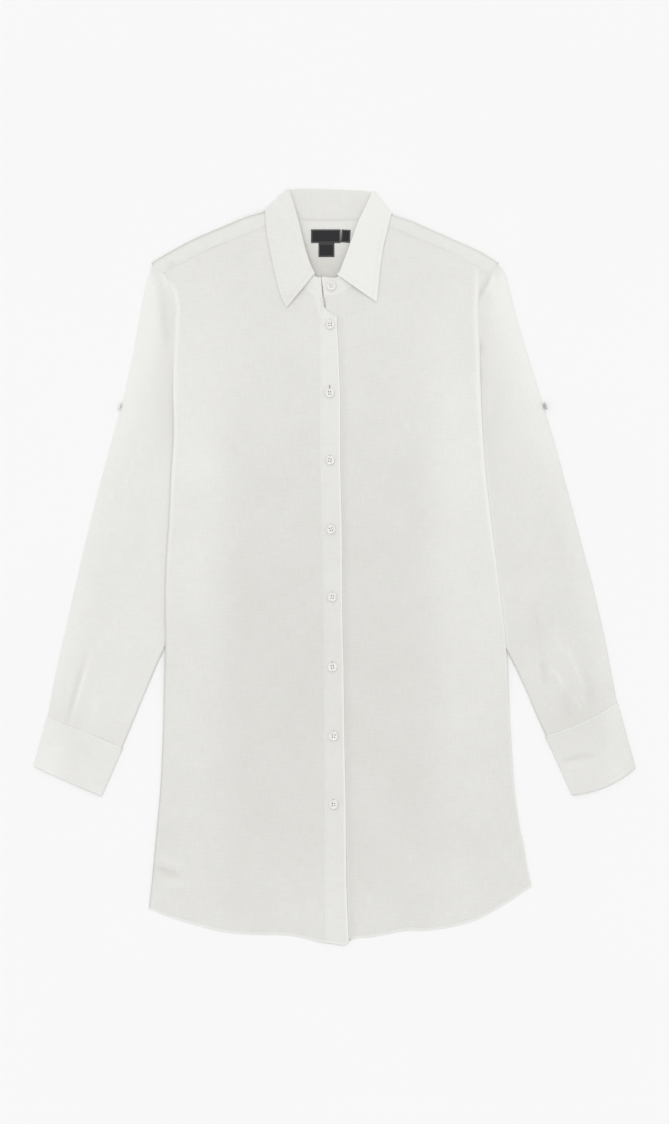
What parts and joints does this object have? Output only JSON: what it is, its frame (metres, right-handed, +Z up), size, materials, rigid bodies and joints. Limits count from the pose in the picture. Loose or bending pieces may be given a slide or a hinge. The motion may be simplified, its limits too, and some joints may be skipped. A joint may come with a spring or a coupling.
{
  "type": "shirt dress",
  "caption": "Long-sleeved linen shirt dress with a turned-down collar, buttoned front placket, deep cuffs and curved shirt-tail hem, laid flat and face up.",
  "frame": {"origin": "middle of the bounding box's underside, on the surface the dress lies on", "axes": "+Z up out of the front of the dress, +Y from the hem to the collar, +X to the right of someone looking at it"},
  "size_m": [0.7348, 0.9225, 0.0106],
  "materials": {
    "linen": "matte plain-weave linen, off-white",
    "button": "satin, shell-like off-white",
    "label": "black woven satin"
  },
  "bodies": {
    "root": {"back": "linen", "yoke": "linen", "front_left": "linen", "front_right": "linen", "placket": "linen", "button_band": "linen", "collar_stand": "linen", "collar_leaf": "linen", "sleeve_left": "linen", "sleeve_right": "linen", "cuff_left": "linen", "cuff_right": "linen", "button_1": "button", "button_2": "button", "button_3": "button", "button_4": "button", "button_5": "button", "button_6": "button", "button_7": "button", "button_8": "button", "button_collar": "button", "button_sleeve_left": "button", "button_sleeve_right": "button", "label_main": "label", "label_fold": "label", "label_size": "label"}
  },
  "joints": []
}
